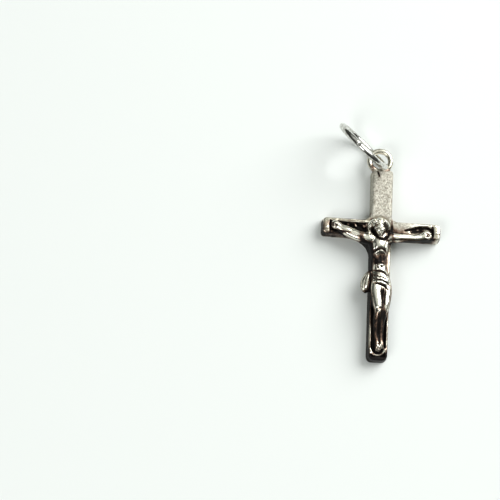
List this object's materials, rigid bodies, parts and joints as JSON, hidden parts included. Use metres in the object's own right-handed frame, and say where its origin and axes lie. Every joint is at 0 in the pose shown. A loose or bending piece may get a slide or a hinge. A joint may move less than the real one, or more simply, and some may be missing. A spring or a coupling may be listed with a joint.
{
  "type": "crucifix pendant",
  "caption": "Small cast silver crucifix pendant with a raised figure, darkened recesses and a top loop, on an open wire jump ring; it lies on its flat back.",
  "frame": {"origin": "on the flat back, where the middle lines of the upright and the bar cross", "axes": "+Z out of the figure's face, +Y up the upright towards the loop, +X along the bar to the viewer's right"},
  "size_m": [0.0108, 0.0217, 0.0057],
  "materials": {
    "cast_silver": "cast silver, worn bright on its high spots, blackened in its recesses, frosted on the top arm",
    "ring_silver": "polished silver wire"
  },
  "bodies": {
    "root": {"crucifix": "cast_silver", "jump_ring": "ring_silver"}
  },
  "joints": []
}
